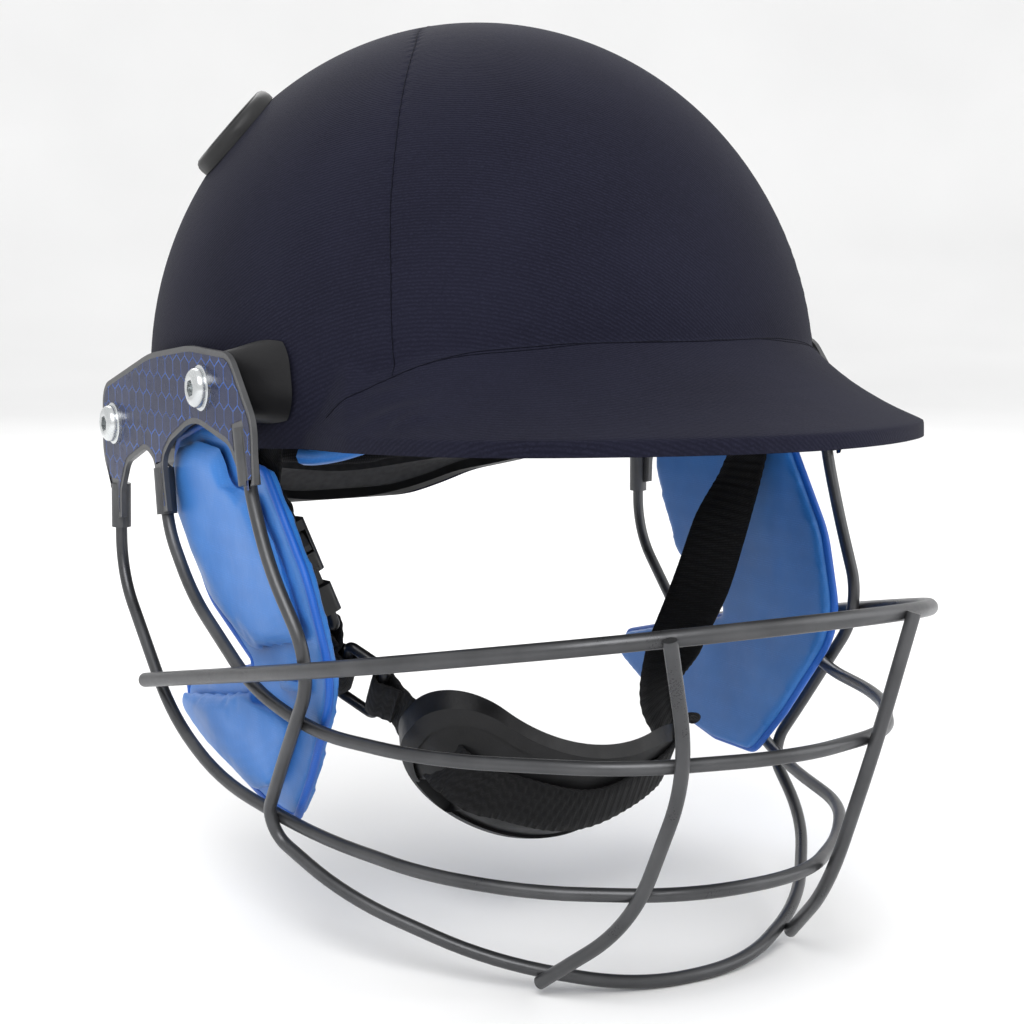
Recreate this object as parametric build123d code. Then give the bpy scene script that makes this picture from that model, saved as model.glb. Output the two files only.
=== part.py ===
from build123d import *
import os
from math import cos, radians, sin, sqrt, tan

# Cricket helmet with a steel face guard, bolted to the shell through a plate on each side.
# It faces -Y, +Z is up, and the symmetry plane is X = 0. Side -1 is the wearer's right.
# The origin lies on the symmetry plane, at about the level of the shell's rear edge.
# Lengths are millimetres and angles are degrees.

# Dome of the helmet, measured over its cloth
dome_half_width = 105.0
dome_half_length = 130.5
dome_half_height = 117.5
dome_centre_y = 27.5
dome_centre_z = 43.3

# Layers of the dome, from outside to inside
cloth_thickness = 1.0
shell_wall = 3.2
liner_thickness = 13.0
comfort_thickness = 7.0
layer_gap = 0.3

# Peak, with its outlines as shares of half width and reach
peak_half_width = 92.0
peak_root_y = -37.0
peak_root_z = 33.1
peak_reach = 124.0
peak_rise_angle = 2.7
peak_height = 27.0
peak_tail = 30.0
peak_hollow_share = 0.62
peak_middle_share = 0.5
rim_shares = ((0.985, 0.0), (0.976, 0.266), (0.9, 0.492), (0.71, 0.734), (0.46, 0.887), (0.0, 1.0))
crest_shares = ((0.913, 0.0), (0.837, 0.121), (0.728, 0.234), (0.565, 0.347), (0.33, 0.452), (0.0, 0.492))

# Lower edge of the shell, seen from the side
edge_band = 4.4
temple_edge_y = -8.0
temple_edge_z = 27.0
ear_edge_z = 34.0
ear_front_y = 2.0
ear_rear_y = 46.0
notch_y = 58.0
notch_z = 21.0
nape_front_y = 96.0
nape_front_z = 10.0
nape_bend_y = 128.0
nape_bend_z = -1.0
nape_rear_y = 138.0
nape_rear_z = -11.0
ear_radius = 5.0
edge_radius = 14.0
liner_room_front_y = -24.0
liner_room_rear_y = 52.0
liner_room_width = 240.0
liner_edge_rise = 4.0
comfort_edge_rise = 9.0

# Comfort pads and the nape lining
brow_pad_z = 66.0
brow_pad_half_width = 62.0
temple_pad_gap = 5.0
crown_pad_radius = 46.0
rear_pad_half_width = 58.0
rear_pad_top_z = 62.0
nape_lining_y = 94.0
nape_split_z = 16.0

# Vent grommets, high behind the temples
vent_length_share = 0.249
vent_height_share = 0.691
grommet_outer_radius = 17.0
grommet_neck_radius = 12.0
grommet_bore_radius = 9.2
grommet_height = 4.2
grommet_skirt = 3.0
grommet_lip = 2.6
grommet_overlap = 0.8

# Side plates and their bolts
plate_middle_x = 107.0
plate_thickness = 1.6
plate_angle = 11.5
front_bolt_y = -0.4
front_bolt_z = 45.0
bolt_spacing = 85.7
plate_depth = 50.0
corner_radius = 10.0
plate_corner_shares = (
    (-0.397, -0.66, 0.0), (-0.43, -0.3, 1.2), (-0.272, 0.14, 1.2), (0.11, 0.29, 6.0),
    (0.53, 0.355, 9.0), (1.12, 0.29, 0.9), (1.19, -0.16, 1.4), (1.112, -0.46, 0.6),
    (1.083, -0.64, 0.0), (1.026, -0.64, 0.0), (1.0, -0.46, 0.6), (0.9, -0.29, 0.8),
    (0.665, -0.235, 1.0), (0.582, -0.33, 0.6), (0.565, -0.68, 0.0), (0.482, -0.68, 0.0),
    (0.49, -0.34, 0.6), (0.385, -0.25, 1.5), (0.13, -0.165, 3.0), (-0.2, -0.39, 1.0),
    (-0.3, -0.66, 0.0))
bolt_diameter = 6.0
bolt_head_diameter = 10.4
bolt_head_height = 3.6
bolt_flange_diameter = 13.4
bolt_flange_height = 1.3
socket_across_flats = 5.0
socket_depth = 2.6
nut_flange_diameter = 17.0
nut_flange_height = 2.2
nut_barrel_diameter = 9.0
nut_length = 9.0
hole_clearance = 0.3

# Rubber spacers between shell and plate
spacer_plate_length = 34.0
spacer_plate_height = 18.0
spacer_shell_length = 48.0
spacer_shell_height = 27.0
spacer_shift = 11.0
spacer_drop = 2.0
spacer_corner = 7.0
spacer_shell_corner = 11.0
spacer_depth = 12.5
rear_spacer_radius = 8.4
rear_spacer_flare = 2.4

# Face guard rods. Routes are shares of half width, reach and drop of the guard
guard_half_width = 106.0
guard_reach = 157.0
guard_drop = 125.0
rod_diameter = 4.0
eye_bar_diameter = 4.8
ferrule_outer_diameter = 6.6
ferrule_clearance = 0.1
front_ferrule_length = 17.0
middle_ferrule_length = 15.0
rear_ferrule_length = 15.0
ferrule_setback = 1.0
temple_bend = 26.0
jaw_bend = 18.0
eye_bar_shares = (
    (1.043, 0.325, -0.438), (0.977, -0.42, -0.246), (0.849, -0.662, -0.183), (0.538, -0.908, -0.12),
    (0.189, -1.01, -0.093))
middle_rail_shares = (
    (0.996, 0.268, 0.124), (0.996, 0.25, -0.024), (0.983, 0.14, -0.18), (0.955, -0.129, -0.36),
    (0.884, -0.316, -0.426), (0.755, -0.608, -0.422), (0.417, -0.897, -0.398), (0.086, -0.975, -0.388))
lower_rail_shares = (
    (0.996, 0.547, 0.048), (1, 0.55, -0.192), (0.987, 0.271, -0.526), (0.953, 0.06, -0.641),
    (0.832, -0.219, -0.71), (0.703, -0.526, -0.719), (0.506, -0.684, -0.731), (0.192, -0.862, -0.718))
chin_rod_shares = (
    (0.999, -0.182, 0.272), (0.998, -0.208, 0.128), (0.983, -0.269, -0.04), (0.934, -0.385, -0.254),
    (0.921, -0.199, -0.555), (0.909, -0.099, -0.715), (0.798, -0.318, -0.833), (0.521, -0.554, -0.942),
    (0.182, -0.689, -0.998))
upright_shares = (
    (0.382, -0.984, -0.102), (0.296, -0.958, -0.402), (0.321, -0.812, -0.786), (0.424, -0.611, -0.982))

# Cheek pads. Their outlines are places on the pad's own plane, rearward and up
pad_top_x = 98.4
pad_top_z = 21.0
pad_lean_angle = 5.5
pad_backing_thickness = 5.0
pad_lobe_height = 3.6
pad_lower_height = 6.2
pad_length = 116.0
pad_drop = 108.0
pad_corner = 10.0
backing_shares = (
    (0.02, 0.095, 0.3), (-0.04, 0.012, 0.3), (-0.2, 0.0, 0.6), (-0.4, -0.27, 4.0),
    (-0.5, -0.55, 2.2), (-0.29, -0.86, 3.0), (-0.165, -1.01, 0.6), (0.03, -1.01, 1.5),
    (0.37, -0.935, 2.0), (0.575, -0.84, 0.3), (0.57, -0.755, 0.3), (0.05, -0.61, 0.3),
    (0.0, -0.585, 0.2), (0.3, -0.435, 2.0), (0.505, -0.1, 2.0), (0.41, 0.04, 1.0),
    (0.2, 0.1, 1.0))
upper_lobe_shares = (
    (0.035, 0.085, 0.3), (-0.03, -0.01, 0.4), (-0.2, -0.05, 0.8), (-0.33, -0.24, 3.0),
    (-0.445, -0.45, 0.5), (-0.04, -0.57, 1.5), (0.29, -0.42, 2.0), (0.49, -0.1, 1.4),
    (0.4, 0.03, 0.8), (0.2, 0.088, 1.0))
middle_lobe_shares = (
    (-0.42, -0.525, 0.25), (-0.16, -0.575, 0.25), (-0.19, -0.63, 0.25), (-0.4, -0.615, 0.25))
lower_lobe_shares = (
    (-0.335, -0.685, 0.4), (0.0, -0.64, 2.0), (0.55, -0.765, 0.25), (0.56, -0.83, 0.25),
    (0.36, -0.915, 2.0), (0.02, -0.99, 1.5), (-0.13, -0.93, 0.8))
crown_shares = ((0.0, 0.0), (0.5, 0.02), (0.85, 0.22), (1.0, 0.62))

# Chin strap. It hangs in a plane that leans forward, from a rivet on each side
strap_pivot_x = 91.0
strap_pivot_y = -9.0
strap_pivot_z = 32.0
strap_lean_angle = 3.5
webbing_width = 20.0
webbing_thickness = 1.7
rivet_diameter = 5.0
rivet_head_diameter = 11.0
rivet_head_height = 1.4
rivet_clearance = 0.3
strap_end_down = 12.0
webbing_lead = 5.6

# Buckle on the near side, along the strap
buckle_x = -79.5
buckle_down = 44.0
buckle_forward = -7.0
buckle_angle = 22.0
buckle_width = 28.0
buckle_thickness = 8.4
buckle_wall = 1.7
buckle_corner = 2.6
socket_length = 17.0
socket_floor = 1.8
prong_base_length = 9.0
prong_base_gap = 5.0
tongue_width = 6.0
tongue_length = 13.0
arm_width = 3.6
arm_length = 14.5
arm_catch = 1.8
catch_start = 7.0
catch_end = 13.0
buckle_gap = 0.4
bar_diameter = 3.4
bar_reach = 6.0
bar_corner = 1.9

# Adjuster ring
ring_x = -62.0
ring_down = 80.0
ring_forward = 0.0
ring_width = 17.0
ring_length = 33.0
ring_across = (-0.2, -0.6, 0.77)
ring_along = (0.6, 0.54, 0.58)

# Chin cup, a rubber bowl that is round about an axis through the strap's curve
cup_radius = 56.0
cup_depth = 42.0
cup_centre_x = -2.5
cup_centre_down = 79.5
cup_centre_forward = 7.0
cup_wall = 2.6
cup_bead = 1.1
cup_bead_width = 3.6
cup_length = 96.0
cup_height = 45.0
cup_face_drop = 3.5
cup_corner = 21.0
cup_dish_angle = 33.0
cup_set_angle = 14.0
band_forward = 15.0
band_half_angle = 44.0
band_steps = 4
ramp_angle = 7.0
ramp_stations = 2
near_stations = 2
band_gap = 0.6
band_inner_gap = 2.0
slot_clearance = 1.4
slot_length = 15.0
slot_setback = 1.2

# Shared values
overrun = 40.0
facet_guard = 0.01
SIDES = (-1, 1)
SIDE_NAMES = {-1: "right", 1: "left"}


def scaled_sphere(half_x, half_y, half_z):
    """Ellipsoid round the origin."""
    return scale(Sphere(1), by=(half_x, half_y, half_z))


def dome(inset):
    """Dome form, drawn in from the outside of the cloth."""
    form = scaled_sphere(dome_half_width - inset, dome_half_length - inset, dome_half_height - inset)
    return Pos(0, dome_centre_y, dome_centre_z) * form


def dome_x(y, z, inset=0.0):
    """Half width of the dome at a place in side view."""
    along = (y - dome_centre_y) / (dome_half_length - inset)
    up = (z - dome_centre_z) / (dome_half_height - inset)
    return (dome_half_width - inset) * sqrt(1 - along * along - up * up)


def blend_shares(first, second, share):
    """Outline between two outlines."""
    return [tuple(a + (b - a) * share for a, b in zip(p, q)) for p, q in zip(first, second)]


def peak_section(shares, inset, height):
    """Level section of the peak, with a straight tail that runs into the dome."""
    across = peak_half_width - inset
    reach = peak_reach - inset
    half = [(x * across, -y * reach) for x, y in shares]
    other = [(-x, y) for x, y in reversed(half[:-1])]
    front = Spline(*half, *other, tangents=((0, -1), (0, 1)))
    start = half[0][0]
    tail = Polyline((-start, 0), (-start, peak_tail), (start, peak_tail), (start, 0))
    lean = radians(peak_rise_angle)
    root = Plane(
        origin=(0, peak_root_y, peak_root_z + height - inset), x_dir=(1, 0, 0),
        z_dir=(0, sin(lean), cos(lean)))
    return root * make_face([front, tail])


def peak_block(inset):
    """Solid under the peak's top face, with an upright rim below it."""
    middle_shares = blend_shares(rim_shares, crest_shares, peak_hollow_share)
    rim = peak_section(rim_shares, inset, 0.0)
    middle = peak_section(middle_shares, inset, peak_height * peak_middle_share)
    crest = peak_section(crest_shares, inset, peak_height)
    return loft([rim, middle, crest]) + extrude(rim, amount=-overrun)


def helmet_form(inset):
    """Dome and peak in one."""
    return dome(inset) + peak_block(inset)


def above_edge(rise):
    """Everything above the shell's lower edge, lifted by rise."""
    slope = tan(radians(peak_rise_angle))
    front_y = peak_root_y - peak_reach - overrun
    rear_y = dome_centre_y + dome_half_length + overrun
    top_z = dome_centre_z + dome_half_height + overrun
    root_z = peak_root_z - edge_band + rise
    corners = [
        (front_y, root_z + slope * (peak_reach + overrun)), (peak_root_y, root_z),
        (temple_edge_y, temple_edge_z + rise), (ear_front_y, ear_edge_z + rise),
        (ear_rear_y, ear_edge_z + rise), (notch_y, notch_z + rise),
        (nape_front_y, nape_front_z + rise), (nape_bend_y, nape_bend_z + rise),
        (nape_rear_y, nape_rear_z + rise), (rear_y, nape_rear_z + rise),
        (rear_y, top_z), (front_y, top_z)]
    ear, soft = ear_radius, edge_radius
    radii = [0, soft, ear, ear, ear, ear, soft, soft, ear, 0, 0, 0]
    outline = FilletPolyline(*corners, radius=radii, close=True)
    return extrude(Plane.YZ * make_face(outline), amount=dome_half_width + overrun, both=True)


def vent_plane(side):
    """Seat of a vent grommet, square to the dome."""
    y = dome_centre_y + vent_length_share * dome_half_length
    z = dome_centre_z + vent_height_share * dome_half_height
    x = dome_x(y, z)
    normal = (
        side * x / dome_half_width ** 2, (y - dome_centre_y) / dome_half_length ** 2,
        (z - dome_centre_z) / dome_half_height ** 2)
    return Plane(origin=(side * x, y, z), z_dir=normal)


def vent_bores(radius):
    """Round cutters through the dome at both vents."""
    return [vent_plane(side) * Cylinder(radius, overrun + overrun) for side in SIDES]


def bolt_places():
    """Side view places of the front and rear bolt."""
    lean = radians(plate_angle)
    rear_y = front_bolt_y + bolt_spacing * cos(lean)
    rear_z = front_bolt_z - bolt_spacing * sin(lean)
    return ((front_bolt_y, front_bolt_z), (rear_y, rear_z))


def cross_rod(x, y, z, radius, length, side):
    """Round bar along X that starts at x and runs outward."""
    middle = side * (x + length / 2)
    return Pos(middle, y, z) * Rot(0, 90, 0) * Cylinder(radius, length)


def bolt_holes(radius, side):
    """Cutters along both bolts of one side."""
    inner = plate_middle_x - overrun
    return [cross_rod(inner, y, z, radius, overrun + overrun, side) for y, z in bolt_places()]


def rivet_hole(radius, side):
    """Cutter along the strap rivet of one side."""
    return cross_rod(strap_pivot_x, strap_pivot_y, strap_pivot_z, radius, overrun, side)


def helmet_layer(inset, thickness, rise):
    """One skin of dome and peak."""
    return (helmet_form(inset) - helmet_form(inset + thickness)) & above_edge(rise)


def cloth_cover():
    """Cloth over dome and peak, open at the vents and bolts."""
    cover = helmet_layer(0.0, cloth_thickness, 0.0) - vent_bores(grommet_neck_radius + hole_clearance)
    for side in SIDES:
        cover -= bolt_holes(bolt_diameter / 2 + hole_clearance, side)
    return cover


def outer_shell():
    """Moulded shell with its peak."""
    inset = cloth_thickness + layer_gap
    shell = helmet_layer(inset, shell_wall, 0.0) - vent_bores(grommet_neck_radius + hole_clearance)
    for side in SIDES:
        shell -= bolt_holes(bolt_diameter / 2 + hole_clearance, side)
        shell -= rivet_hole(rivet_diameter / 2 + hole_clearance, side)
    return shell


def shell_inside():
    """Inset of the shell's inner face."""
    return cloth_thickness + layer_gap + shell_wall


def nut_pockets(side):
    """Room for the inner nuts in the liner."""
    radius = nut_flange_diameter / 2 + hole_clearance
    pockets = []
    for y, z in bolt_places():
        inner = dome_x(y, z, shell_inside()) - nut_length - layer_gap
        pockets.append(cross_rod(inner, y, z, radius, overrun, side))
    return pockets


def impact_liner():
    """Foam shell that takes the blow, with vents and nut pockets."""
    inset = shell_inside() + layer_gap
    liner = (dome(inset) - dome(inset + liner_thickness)) & above_edge(liner_edge_rise)
    liner -= vent_bores(grommet_bore_radius)
    top_z = strap_pivot_z + webbing_width / 2 + rivet_clearance
    half = liner_room_width / 2
    liner -= zone((-half, liner_room_front_y, top_z - overrun), (half, liner_room_rear_y, top_z))
    for side in SIDES:
        liner -= nut_pockets(side)
    return liner


def comfort_layer():
    """Inner skin that the comfort pads are cut from."""
    inset = shell_inside() + layer_gap + liner_thickness + layer_gap
    return dome(inset) - dome(inset + comfort_thickness)


def zone(low, high):
    """Box between two corners."""
    size = [b - a for a, b in zip(low, high)]
    middle = [(a + b) / 2 for a, b in zip(low, high)]
    return Pos(*middle) * Box(*size)


def brow_pad(skin):
    """Comfort pad across the forehead."""
    front = dome_centre_y - dome_half_length
    region = zone(
        (-brow_pad_half_width, front, peak_root_z - edge_band),
        (brow_pad_half_width, dome_centre_y, brow_pad_z))
    return skin & above_edge(comfort_edge_rise) & region


def temple_pad(skin, side):
    """Comfort pad over one temple."""
    inner = brow_pad_half_width + temple_pad_gap
    low_z = strap_pivot_z + webbing_width / 2 + comfort_edge_rise
    near, far = sorted((side * inner, side * dome_half_width))
    region = zone((near, peak_root_y, low_z), (far, ear_rear_y, brow_pad_z + comfort_edge_rise))
    return skin & region


def crown_pad(skin):
    """Comfort pad under the crown."""
    column = Pos(0, dome_centre_y, dome_centre_z + dome_half_height / 2)
    return skin & column * Cylinder(crown_pad_radius, dome_half_height)


def rear_pad(skin):
    """Sizing pad round the back of the head."""
    rear = dome_centre_y + dome_half_length
    region = zone(
        (-rear_pad_half_width, dome_centre_y, nape_split_z + layer_gap),
        (rear_pad_half_width, rear, rear_pad_top_z))
    return skin & region


def nape_lining(skin):
    """Black lining of the nape, below the sizing pad."""
    rear = dome_centre_y + dome_half_length
    region = zone(
        (-rear_pad_half_width, nape_lining_y, nape_rear_z - overrun),
        (rear_pad_half_width, rear, nape_split_z))
    return skin & region & above_edge(liner_edge_rise)


def vent_grommet(side):
    """Domed rubber ring on the cloth, with a neck through the shell."""
    seat = vent_plane(side)
    middle_radius = (grommet_outer_radius + grommet_bore_radius) / 2
    crown = ThreePointArc((0, grommet_lip), (middle_radius, grommet_height), (grommet_outer_radius, 0))
    under = Polyline(
        (grommet_outer_radius, 0), (grommet_outer_radius, -grommet_skirt), (0, -grommet_skirt),
        (0, grommet_lip))
    lip = seat * revolve(Plane.XZ * make_face([crown, under]), axis=Axis.Z) - dome(-layer_gap)
    neck = seat * Cylinder(
        grommet_neck_radius, overrun, align=(Align.CENTER, Align.CENTER, Align.MAX))
    neck = neck & dome(-grommet_overlap)
    body = lip + (neck - dome(shell_inside()))
    return body - seat * Cylinder(grommet_bore_radius, overrun)


def plate_plane(side, x):
    """Plane of a side plate, with u rearward along the bolts and v up."""
    lean = radians(plate_angle)
    return Plane(
        origin=(side * x, front_bolt_y, front_bolt_z), x_dir=(0, cos(lean), -sin(lean)),
        z_dir=(1, 0, 0))


def plate_inner_x():
    """Inner face of a side plate."""
    return plate_middle_x - plate_thickness / 2


def rod_points(shares):
    """Places along one rod, from its shares of the guard's sizes."""
    return [Vector(x * guard_half_width, y * guard_reach, z * guard_drop) for x, y, z in shares]


def corner_radii(points):
    """Largest even bend at each inner point of a route."""
    radii = []
    for before, here, after in zip(points, points[1:], points[2:]):
        first, second = here - before, after - here
        turn = radians(first.get_angle(second))
        radii.append(0.45 * min(first.length, second.length) / tan(turn / 2))
    return radii


def bent_rod(points, diameter, bends=None):
    """Round rod swept along straight runs and tangent bends."""
    radii = corner_radii(points) if bends is None else bends
    path = FilletPolyline(*points, radius=radii)
    start = Plane(origin=path @ 0, z_dir=path % 0)
    return sweep(start * Circle(diameter / 2), path=path)


def mirrored(points):
    """Route over the symmetry plane and on along the other side."""
    return points + [Vector(-p.X, p.Y, p.Z) for p in reversed(points)]


def eye_bar():
    return bent_rod(mirrored(rod_points(eye_bar_shares)), eye_bar_diameter)


def middle_rail():
    return bent_rod(mirrored(rod_points(middle_rail_shares)), rod_diameter)


def lower_rail():
    return bent_rod(mirrored(rod_points(lower_rail_shares)), rod_diameter)


def side_and_chin_rod():
    """One rod from plate to plate, down each side and round the chin."""
    points = mirrored(rod_points(chin_rod_shares))
    radii = corner_radii(points)
    last = len(radii) - 1
    for place, bend in ((2, temple_bend), (4, jaw_bend)):
        radii[place] = min(radii[place], bend)
        radii[last - place] = radii[place]
    return bent_rod(points, rod_diameter, radii)


def upright(side):
    """Short rod welded outside the rails."""
    points = [Vector(side * p.X, p.Y, p.Z) for p in rod_points(upright_shares)]
    return bent_rod(points, rod_diameter)


def ferrule(points, length, side, radius):
    """Round bar along the first run of a rod."""
    start = Vector(side * points[0].X, points[0].Y, points[0].Z)
    along = Vector(side * points[1].X, points[1].Y, points[1].Z) - start
    place = Plane(origin=start - along.normalized() * ferrule_setback, z_dir=along)
    return place * Cylinder(radius, length, align=(Align.CENTER, Align.CENTER, Align.MIN))


def side_plate(side):
    """Flat steel plate with three legs, each rolled round a rod."""
    corners = [(u * bolt_spacing, v * plate_depth) for u, v, _ in plate_corner_shares]
    radii = [share * corner_radius for _, _, share in plate_corner_shares]
    outline = FilletPolyline(*corners, radius=radii, close=True)
    sheet = extrude(
        plate_plane(side, plate_middle_x) * make_face(outline), amount=plate_thickness / 2, both=True)
    sockets = (
        (chin_rod_shares, front_ferrule_length), (middle_rail_shares, middle_ferrule_length),
        (lower_rail_shares, rear_ferrule_length))
    bore = rod_diameter / 2 + ferrule_clearance
    for shares, length in sockets:
        points = rod_points(shares)
        sheet += ferrule(points, length, side, ferrule_outer_diameter / 2)
    for shares, length in sockets:
        points = rod_points(shares)
        sheet -= ferrule(points, length + overrun, side, bore)
    return sheet - bolt_holes(bolt_diameter / 2 + hole_clearance, side)


def front_spacer(side):
    """Tapered rubber block that fills the room between dome and plate."""
    near = plate_plane(side, plate_inner_x())
    far = plate_plane(side, plate_inner_x() - spacer_depth)
    shift = Pos(-spacer_shift, -spacer_drop)
    plate_face = near * RectangleRounded(spacer_plate_length, spacer_plate_height, spacer_corner)
    shell_face = far * shift * RectangleRounded(
        spacer_shell_length, spacer_shell_height, spacer_shell_corner)
    block = loft([plate_face, shell_face]) - dome(-layer_gap)
    return block - bolt_holes(bolt_diameter / 2 + hole_clearance, side)


def rear_spacer(side):
    """Round rubber boss behind the plate's rear bolt."""
    y, z = bolt_places()[1]
    length = plate_inner_x() - dome_x(y, z) + rear_spacer_radius
    cone = Cone(rear_spacer_radius + rear_spacer_flare, rear_spacer_radius, length)
    boss = Pos(side * (plate_inner_x() - length / 2), y, z) * Rot(0, side * 90, 0) * cone
    boss -= dome(-layer_gap)
    return boss - bolt_holes(bolt_diameter / 2 + hole_clearance, side)


def bolt(y, z, side):
    """Socket head bolt with its flange."""
    face = plate_middle_x + plate_thickness / 2
    head_x = face + bolt_flange_height
    tip = dome_x(y, z, shell_inside()) - nut_length + facet_guard
    body = cross_rod(face, y, z, bolt_flange_diameter / 2, bolt_flange_height, side)
    body += cross_rod(head_x, y, z, bolt_head_diameter / 2, bolt_head_height, side)
    body += cross_rod(tip, y, z, bolt_diameter / 2, face - tip, side)
    hexagon = RegularPolygon(socket_across_flats / 2, 6, major_radius=False)
    mouth = Plane(origin=(side * (head_x + bolt_head_height), y, z), z_dir=(-side, 0, 0))
    return body - extrude(mouth * hexagon, amount=socket_depth)


def mount_bolts(side):
    """Both bolts of one side."""
    return Compound(children=[bolt(y, z, side) for y, z in bolt_places()])


def nut(y, z, side):
    """Flanged nut on the shell's inner face."""
    outer = dome_x(y, z, shell_inside()) + nut_flange_height
    length = nut_length + nut_flange_height
    flange = nut_flange_height + nut_flange_height
    body = cross_rod(outer - length, y, z, nut_barrel_diameter / 2, length, side)
    body += cross_rod(outer - flange, y, z, nut_flange_diameter / 2, flange, side)
    body &= dome(shell_inside() + layer_gap / 2)
    return body - cross_rod(0, y, z, bolt_diameter / 2 + ferrule_clearance, outer + overrun, side)


def inner_nuts(side):
    """Both nuts of one side."""
    return Compound(children=[nut(y, z, side) for y, z in bolt_places()])


def pad_plane(side, lift):
    """Plane of a cheek pad, leaning in towards the jaw, with u rearward and v up."""
    lean = radians(pad_lean_angle)
    outward = Vector(side * cos(lean), 0, -sin(lean))
    origin = Vector(side * pad_top_x, 0, pad_top_z) + outward * lift
    return Plane(origin=origin, x_dir=(0, side, 0), z_dir=outward)


def pad_outline(shares, side, plane, inset=0.0):
    """Closed outline with rounded corners, drawn in by inset."""
    places = [(u * pad_length, v * pad_drop) for u, v, _ in shares]
    middle_u = sum(u for u, _ in places) / len(places)
    middle_v = sum(v for _, v in places) / len(places)
    half_u = max(abs(u - middle_u) for u, _ in places)
    half_v = max(abs(v - middle_v) for _, v in places)
    drawn = [
        (side * (middle_u + (u - middle_u) * (1 - inset / half_u)),
         middle_v + (v - middle_v) * (1 - inset / half_v)) for u, v in places]
    radii = [share * pad_corner * (1 - inset / half_v) for _, _, share in shares]
    return plane * make_face(FilletPolyline(*drawn, radius=radii, close=True))


def cheek_backing(side):
    """Flat backing of a cheek pad."""
    outline = pad_outline(backing_shares, side, pad_plane(side, 0.0))
    return extrude(outline, amount=-pad_backing_thickness)


def cheek_lobe(shares, side, height):
    """Raised foam lobe with a crowned face and drawn-in sides."""
    sections = [
        pad_outline(shares, side, pad_plane(side, rise * height), inset * height)
        for rise, inset in crown_shares]
    return loft(sections)


def strap_point(x, down, forward):
    """Place in the strap's own plane, measured from the line through both rivets."""
    lean = radians(strap_lean_angle)
    return Vector(
        x, strap_pivot_y - down * sin(lean) - forward * cos(lean),
        strap_pivot_z - down * cos(lean) + forward * sin(lean))


def strap_direction(x, down, forward):
    """Direction in the strap's own plane."""
    return (strap_point(x, down, forward) - strap_point(0, 0, 0)).normalized()


def strap_station(x, down, forward, across):
    """Station of webbing in the strap's own plane."""
    return strap_point(x, down, forward), strap_direction(*across)


def webbing(stations, grow=0.0, breaks=()):
    """Flat webbing through stations of place and width direction."""
    places = [place for place, _ in stations]
    last = len(places) - 1
    sections = []
    for index, (place, across) in enumerate(stations):
        tangent = (places[min(index + 1, last)] - places[max(index - 1, 0)]).normalized()
        wide = across - tangent * across.dot(tangent)
        section = Plane(origin=place, x_dir=wide, z_dir=tangent)
        face = Rectangle(webbing_width + grow + grow, webbing_thickness + grow + grow)
        sections.append(section * face)
    ends = [0, *breaks, last]
    spans = [loft(sections[low:high + 1]) for low, high in zip(ends, ends[1:])]
    body = spans[0]
    for span in spans[1:]:
        body += span
    return body


def strap_rivet(side):
    """Rivet through the shell that a strap end turns on."""
    head_x = strap_pivot_x - webbing_thickness / 2 - rivet_clearance - rivet_head_height
    collar_x = strap_pivot_x + webbing_thickness / 2 + rivet_clearance
    place = (strap_pivot_y, strap_pivot_z)
    body = cross_rod(head_x, *place, rivet_head_diameter / 2, rivet_head_height, side)
    shank = cross_rod(head_x, *place, rivet_diameter / 2, overrun, side)
    body += shank & dome(cloth_thickness + layer_gap + layer_gap / 2)
    collar = cross_rod(collar_x, *place, rivet_head_diameter / 2, overrun, side)
    return body + (collar & dome(shell_inside() + layer_gap))


def strap_end(side, down):
    """Rounded strap end with its rivet hole."""
    width = webbing_width
    lean = radians(strap_lean_angle)
    face = Plane(
        origin=(side * strap_pivot_x, strap_pivot_y, strap_pivot_z), x_dir=(0, cos(lean), -sin(lean)),
        z_dir=(1, 0, 0))
    outline = Circle(width / 2) + Pos(0, -down / 2) * Rectangle(width, down)
    outline -= Circle(rivet_diameter / 2 + rivet_clearance)
    return extrude(face * outline, amount=webbing_thickness / 2, both=True)


def buckle_plane():
    """Plane of the buckle: x forward, y up along the strap, z outward."""
    lean = radians(buckle_angle)
    up = strap_direction(-sin(lean), -cos(lean), 0)
    forward = strap_direction(0, 0, 1)
    return Plane(
        origin=strap_point(buckle_x, buckle_down, buckle_forward), x_dir=forward, z_dir=forward.cross(up))


def rounded_block(width, length, thickness, corner):
    """Block with rounded long edges, standing on y = 0."""
    face = Plane.XZ * RectangleRounded(width, thickness, corner)
    return extrude(face, amount=-length)


def bar_ring(width, length, corner):
    """Rounded rectangular ring of round bar, in its own plane."""
    across = width - bar_diameter
    along = length - bar_diameter
    outline = RectangleRounded(across, along, corner).wire()
    return sweep(Plane(origin=outline @ 0, z_dir=outline % 0) * Circle(bar_diameter / 2), path=outline)


def web_loop(place, across):
    """Loop of webbing round a bar."""
    inner = bar_diameter / 2 + buckle_gap
    outer = inner + webbing_thickness
    bar = Plane(origin=place, z_dir=across)
    return bar * (Cylinder(outer, webbing_width) - Cylinder(inner, overrun))


def loop_reach():
    """Distance from a bar's middle to the middle of the webbing round it."""
    return bar_diameter / 2 + buckle_gap + webbing_thickness / 2


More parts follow.
